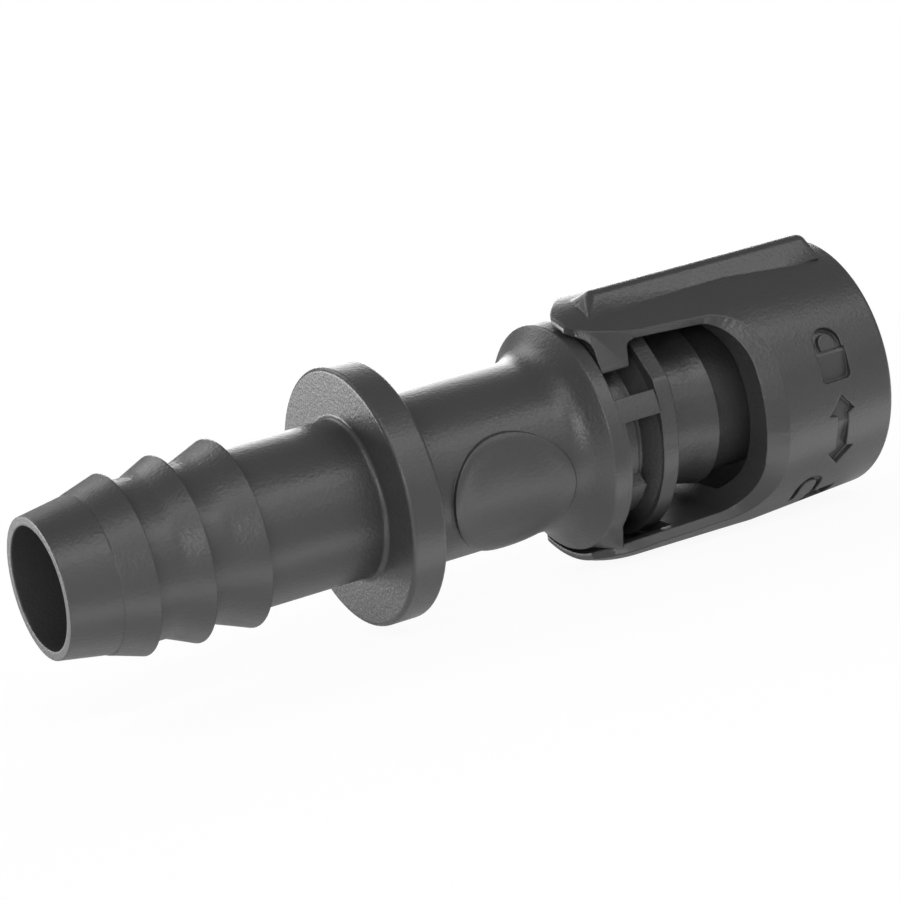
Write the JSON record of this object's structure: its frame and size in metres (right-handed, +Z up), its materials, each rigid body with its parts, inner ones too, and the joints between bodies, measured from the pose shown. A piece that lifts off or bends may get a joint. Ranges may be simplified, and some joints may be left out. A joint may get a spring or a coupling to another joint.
{
  "type": "drip line connector",
  "caption": "Straight pipe connector: a barbed end with a flange, a shank and a nozzle under a turning lock collar with arms, windows, hooks and finger grips.",
  "frame": {"origin": "centre of the waterway at the mouth of the barbed end", "axes": "+X along the waterway towards the lock collar, +Z up as the connector lies at rest, -Y towards the front with the dish"},
  "size_m": [0.0706, 0.0218, 0.022],
  "materials": {
    "body_plastic": "dark grey moulded plastic with a fine satin grain",
    "collar_plastic": "dark grey moulded plastic with a fine satin grain"
  },
  "bodies": {
    "body": {"connector_body": "body_plastic"},
    "collar": {"lock_collar": "collar_plastic"}
  },
  "joints": [
    {"name": "collar_turn", "type": "hinge", "parent": "body", "child": "collar", "pos_m": [0.058, 0, 0], "axis": [1, 0, 0], "range_deg": [0, 15]}
  ]
}
